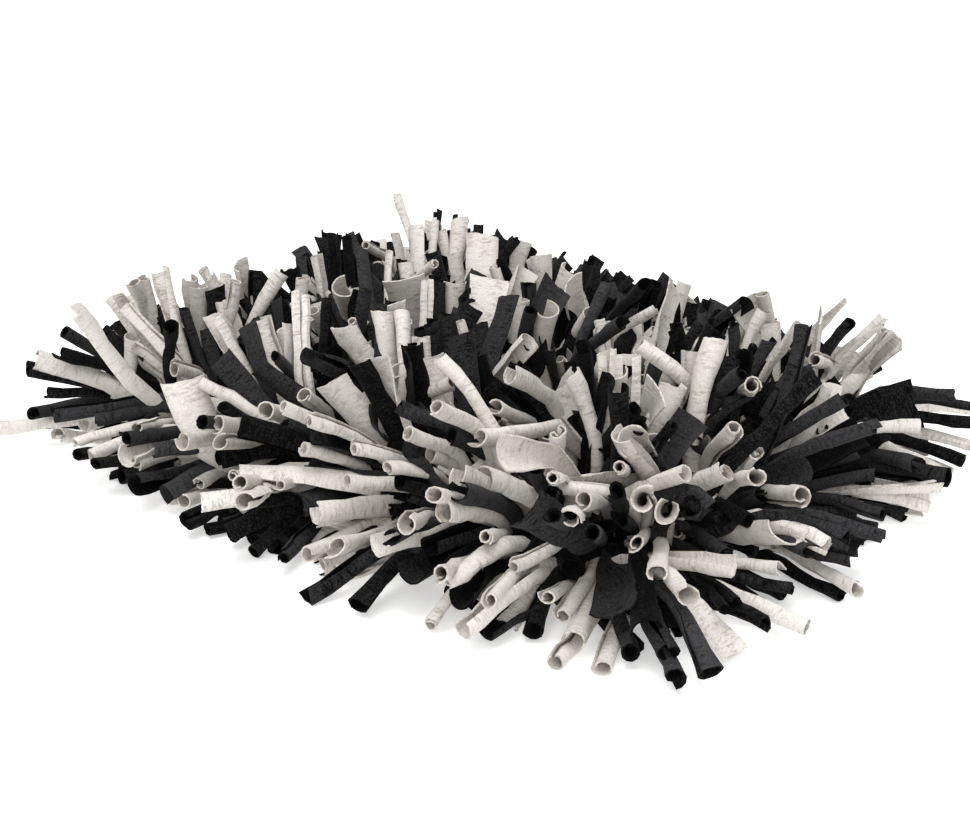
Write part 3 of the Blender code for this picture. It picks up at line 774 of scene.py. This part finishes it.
# Patches of one colour in the pile. A strip takes the colour of the patch nearest to where it ends.
patches = {
    "cream": (
        (-0.160, -0.122), (-0.132, -0.080), (-0.143, 0.110), (-0.020, -0.060), (0.025, 0.012),
        (0.065, 0.085), (-0.060, 0.060), (0.072, -0.008), (0.140, -0.029), (0.150, 0.110), (0.105, -0.118),
        (0.160, -0.095), (-0.013, -0.165), (-0.083, -0.160),
    ),
    "charcoal": (
        (-0.190, -0.146), (-0.160, 0.037), (-0.060, -0.105), (-0.006, -0.012), (0.021, 0.075),
        (-0.100, 0.000), (-0.060, 0.115), (0.085, -0.050), (0.127, 0.036), (0.175, 0.026), (0.100, 0.125),
        (0.040, -0.125), (0.185, -0.060), (0.143, -0.147), (-0.046, -0.135),
    ),
}
colourMix = {
    "readAt": 0.8,  # where along a strip its place in the patches is read
    "near": 0.022,  # a strip that ends this near to a listed one has its colour
    "charcoalInCream": 0.36,  # the share of strips in a patch that are of the other colour
    "creamInCharcoal": 0.08,
}


def colourStrips(paths, laid):
    # the colour of the nearest listed strip, or of the patch where none is near
    ends = paths[:, int(pile["points"] * colourMix["readAt"])]
    places = np.array(patches["cream"] + patches["charcoal"])
    cream = norm(ends[:, None, :2] - places[None], axis=2).argmin(1) < len(patches["cream"])
    laidRoots = np.array(list(laid))
    laidCream = np.array([laid[root][0] == "cream" for root in laid])
    gaps = norm(ends[:, None] - ends[laidRoots][None], axis=2)
    near = gaps.min(1) < colourMix["near"]
    cream[near] = laidCream[gaps.argmin(1)][near]
    mixed = np.where(cream, colourMix["charcoalInCream"], colourMix["creamInCharcoal"])
    cream ^= rng.random(len(paths)) < mixed
    cream[laidRoots] = laidCream
    return np.where(cream, "cream", "charcoal")


def makePile():
    roots, tuft, lean, length, flopped = plantStrips()
    strips = len(roots)
    names = np.array(list(forms))
    shareOf = np.array([form["share"] for form in forms.values()])
    formNames = names[rng.choice(len(names), strips, p=shareOf / shareOf.sum())]
    turn = np.array([rng.uniform(*forms[name]["turn"]) for name in formNames])
    flare = np.array([rng.uniform(*forms[name]["flare"]) for name in formNames])
    width = rng.uniform(*jersey["width"], strips)
    girth = np.array([forms[name]["girth"] for name in formNames])
    girth *= rng.uniform(1 - girthVaries, 1 + girthVaries, strips)
    wish = np.full(strips, settling["wish"])
    wanted = wantedPaths(roots, lean, length, flopped)
    paths = settle(wanted, length, wish, girth)
    laid = layByHand(roots, paths)
    for root, (_, form, comesOut, end) in laid.items():
        wanted[root], length[root] = laidPath(roots[root], comesOut, end)
        paths[root] = wanted[root]
        wish[root] = laying["wish"]
        formNames[root] = form
        turn[root] = rng.uniform(*forms[form]["turn"])
        flare[root] = rng.uniform(*forms[form]["flare"])
        girth[root] = forms[form]["girth"]
    others = np.setdiff1d(np.arange(strips), list(laid))
    paths = giveWay(paths, laid)
    wanted[others] = paths[others]
    lengths = length[list(laid)] * 1000
    print(f"laid by hand: {len(laid)} strips, {lengths.min():.0f} to {lengths.max():.0f} mm long")
    paths = settle(wanted, length, wish, girth, paths)
    colours = colourStrips(paths, laid)
    corners, cloth, paintedHollowShade = rollStrips(paths, length, width, formNames, turn, flare)
    tone = rng.random(strips)
    pieces = []
    zoneLong, zoneWide = pile["zone"]
    for zone in np.ndindex(pile["tufts"][0] // zoneLong, pile["tufts"][1] // zoneWide):
        for colour in ("cream", "charcoal"):
            mine = (tuft // pile["zone"] == zone).all(1) & (colours == colour)
            if not mine.any():
                continue
            name = f"strips_{zone[0] + 1}_{zone[1] + 1}_{colour}"
            piece = makeMesh(name, corners[mine], cloth[mine], paintedHollowShade[mine], tone[mine],
                             jerseyMaterials[colour])
            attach(piece, "root")
            tufts = [f"tuft_{i + 1}_{j + 1}_{colour}" for i, j in np.ndindex(*pile["tufts"])
                     if (i // zoneLong, j // zoneWide) == zone]
            nodes = [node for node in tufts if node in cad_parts]
            if nodes:
                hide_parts(*nodes)
            pieces.append(piece)
    print("pile:", strips, "strips in", len(pieces), "pieces")
    return pieces


stripPieces = makePile()

# Plain weave of thick cotton, which shows from below and between the strips. Its threads are drawn 1.6 mm
# apart so that they show, and it puckers a little from the strips that are tied through it.
backing = {
    "colour": "#37363A",
    "shade": "#1A191C",
    "roughness": 0.94,
    "specular": 0.14,
    "sheen": 0.06,
    "thread": 1.6,  # mm
    "corner": 0.012,
    "step": 0.0060,  # between two mesh points; the puckers are four of these apart
    "hem": 0.009,
    "hemRise": 0.0005,
    "pucker": 0.0005,
    "thinEdge": 0.35,  # of its thickness
}


def cottonMaterial():
    material, tree, shader = clothMaterial("wovenCotton", backing)
    uv = addNode(tree, "UVMap", {"uv_map": "cloth"})
    turns = math.tau * 1000 / backing["thread"]
    split = addNode(tree, "SeparateXYZ", None, _0=uv)
    threads = []
    for axis in ("X", "Y"):
        scaled = addNode(tree, "Math", {"operation": "MULTIPLY", 1: turns / 2}, _0=split.outputs[axis])
        threads.append(addNode(tree, "Math", {"operation": "SINE"}, _0=scaled))
    weave = addNode(tree, "Math", {"operation": "MULTIPLY"}, _0=threads[0], _1=threads[1])
    height = addNode(tree, "MapRange", {"From Min": -1.0, "From Max": 1.0}, _0=weave)
    # thicker and thinner places of the yarn, some 4 mm apart
    slub = addNode(tree, "TexNoise", {"Scale": 260.0, "Detail": 4.0, "Roughness": 0.65}, Vector=uv)
    mixed = addNode(tree, "Math", {"operation": "MULTIPLY"}, _0=height, _1=slub)
    colour = addNode(tree, "Mix",
                     {"data_type": "RGBA", 6: linear(backing["shade"]), 7: linear(backing["colour"])},
                     _0=mixed)
    tree.links.new(colour.outputs[2], shader.inputs["Base Color"])
    bump = addNode(tree, "Bump", {"Strength": 0.6, "Distance": 0.0004}, Height=height)
    tree.links.new(bump.outputs[0], shader.inputs["Normal"])
    return material


def makeBacking():
    # a grid over the rectangle, its corner points drawn in to a round corner, closed into one sheet
    place = np.stack(np.meshgrid(*(np.linspace(-half, half, round(2 * half / backing["step"]) + 1)
                                   for half in backingHalf), indexing="ij"))
    half = backingHalf[:, None, None]
    straight = half - backing["corner"]
    over = np.abs(place) - straight
    shrink = over.max(0) / np.maximum(norm(over, axis=0), 1e-9)
    place = np.where((over > 0).all(0), np.sign(place) * (straight + over * shrink), place)
    inside = (half - np.abs(place)).min(0)
    rise = backing["hemRise"] * (1 - smoothStep(backing["hem"] * 0.7, backing["hem"], inside))
    tie = np.cos(place / backing["step"] * math.pi / 2).prod(0)
    drawn = backing["pucker"] * 0.5 * (1 + tie) * smoothStep(backing["hem"], backing["hem"] * 1.5, inside)
    edge = smoothStep(0, backing["step"] * 0.9, inside)
    middle = backingHigh[2] / 2
    reach = middle * (backing["thinEdge"] + (1 - backing["thinEdge"]) * edge)
    top = np.minimum(middle + reach + rise * edge - backing["pucker"] - drawn * 0.5, backingHigh[2])
    bottom = np.maximum(middle - reach + drawn, 0.0)
    points = np.stack([np.stack([*place, top], -1), np.stack([*place, bottom], -1)])
    upper, lower = np.arange(2 * top.size).reshape(2, *top.shape)
    faces = np.concatenate(closedSheet(upper.T, lower.T))
    mesh = bpy.data.meshes.new("backingCloth")
    mesh.from_pydata(points.reshape(-1, 3).tolist(), [], faces.tolist())
    fill(mesh.uv_layers.new(name="cloth").data, "uv", points.reshape(-1, 3)[faces.ravel(), :2])
    mesh.shade_smooth()
    mesh.materials.append(cottonMaterial())
    piece = addObject("backingCloth", mesh)
    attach(piece, "root")
    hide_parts("backing")
    print("backing:", len(faces), "faces")


makeBacking()


# A softbox overhead and a little forward, two wide fills, and a pale floor that runs out to white.
studio = {
    "floorColour": "#F2F2F1",
    "floorReach": 60.0,
    "floorDown": -0.0003,  # just under the cloth
    "floorGlow": 0.38,  # keeps the far floor white where the softboxes no longer reach
    "skyLight": 0.74,
    "aim": (0.0, 0.0, 0.03),  # where the softboxes point
}
softboxes = {
    "overheadSoftbox": {"place": (0.20, -0.42, 1.55), "size": 1.1, "power": 18.8},
    "frontSoftbox": {"place": (1.1, -1.5, 0.9), "size": 1.2, "power": 13.0},
    "backSoftbox": {"place": (-1.1, 1.5, 0.9), "size": 1.2, "power": 5.0},
}


def makeSky():
    # white to the camera, dimmer as a light
    world = bpy.data.worlds.new("studio")
    bpy.context.scene.world = world
    world.use_nodes = True
    tree = world.node_tree
    dim = tree.nodes["Background"]
    setSockets(dim, {"Color": (1.0, 1.0, 1.0, 1.0), "Strength": studio["skyLight"]})
    white = addNode(tree, "Background", {"Color": (1.0, 1.0, 1.0, 1.0), "Strength": 1.0})
    rays = addNode(tree, "LightPath")
    mixed = addNode(tree, "MixShader", None, _0=rays.outputs["Is Camera Ray"], _1=dim, _2=white)
    tree.links.new(mixed.outputs[0], tree.nodes["World Output"].inputs["Surface"])


def makeFloor():
    reach, down = studio["floorReach"], studio["floorDown"]
    mesh = bpy.data.meshes.new("floor")
    corners = [(-reach, -reach, down), (reach, -reach, down), (reach, reach, down), (-reach, reach, down)]
    mesh.from_pydata(corners, [], [(0, 1, 2, 3)])
    paper = bpy.data.materials.new("palePaper")
    paper.use_nodes = True
    shader = paper.node_tree.nodes["Principled BSDF"]
    setSockets(shader, {"Base Color": linear(studio["floorColour"]), "Roughness": 0.95,
                        "Emission Color": (1.0, 1.0, 1.0, 1.0), "Emission Strength": studio["floorGlow"]})
    mesh.materials.append(paper)
    floor = addObject("floor", mesh)


def makeSoftboxes():
    for name, box in softboxes.items():
        light = bpy.data.lights.new(name, "AREA")
        light.size = box["size"]
        light.energy = box["power"]
        pointAt(addObject(name, light), box["place"], Vector(studio["aim"]) - Vector(box["place"]))


def makeCamera():
    lens = bpy.data.cameras.new("camera")
    lens.lens = view["lens"]
    lens.sensor_width = view["sensor"]
    camera = addObject("camera", lens)
    pointAt(camera, eye, -away)
    bpy.context.scene.camera = camera


makeSky()
makeFloor()
makeSoftboxes()
makeCamera()
bpy.context.scene.view_settings.view_transform = "Standard"
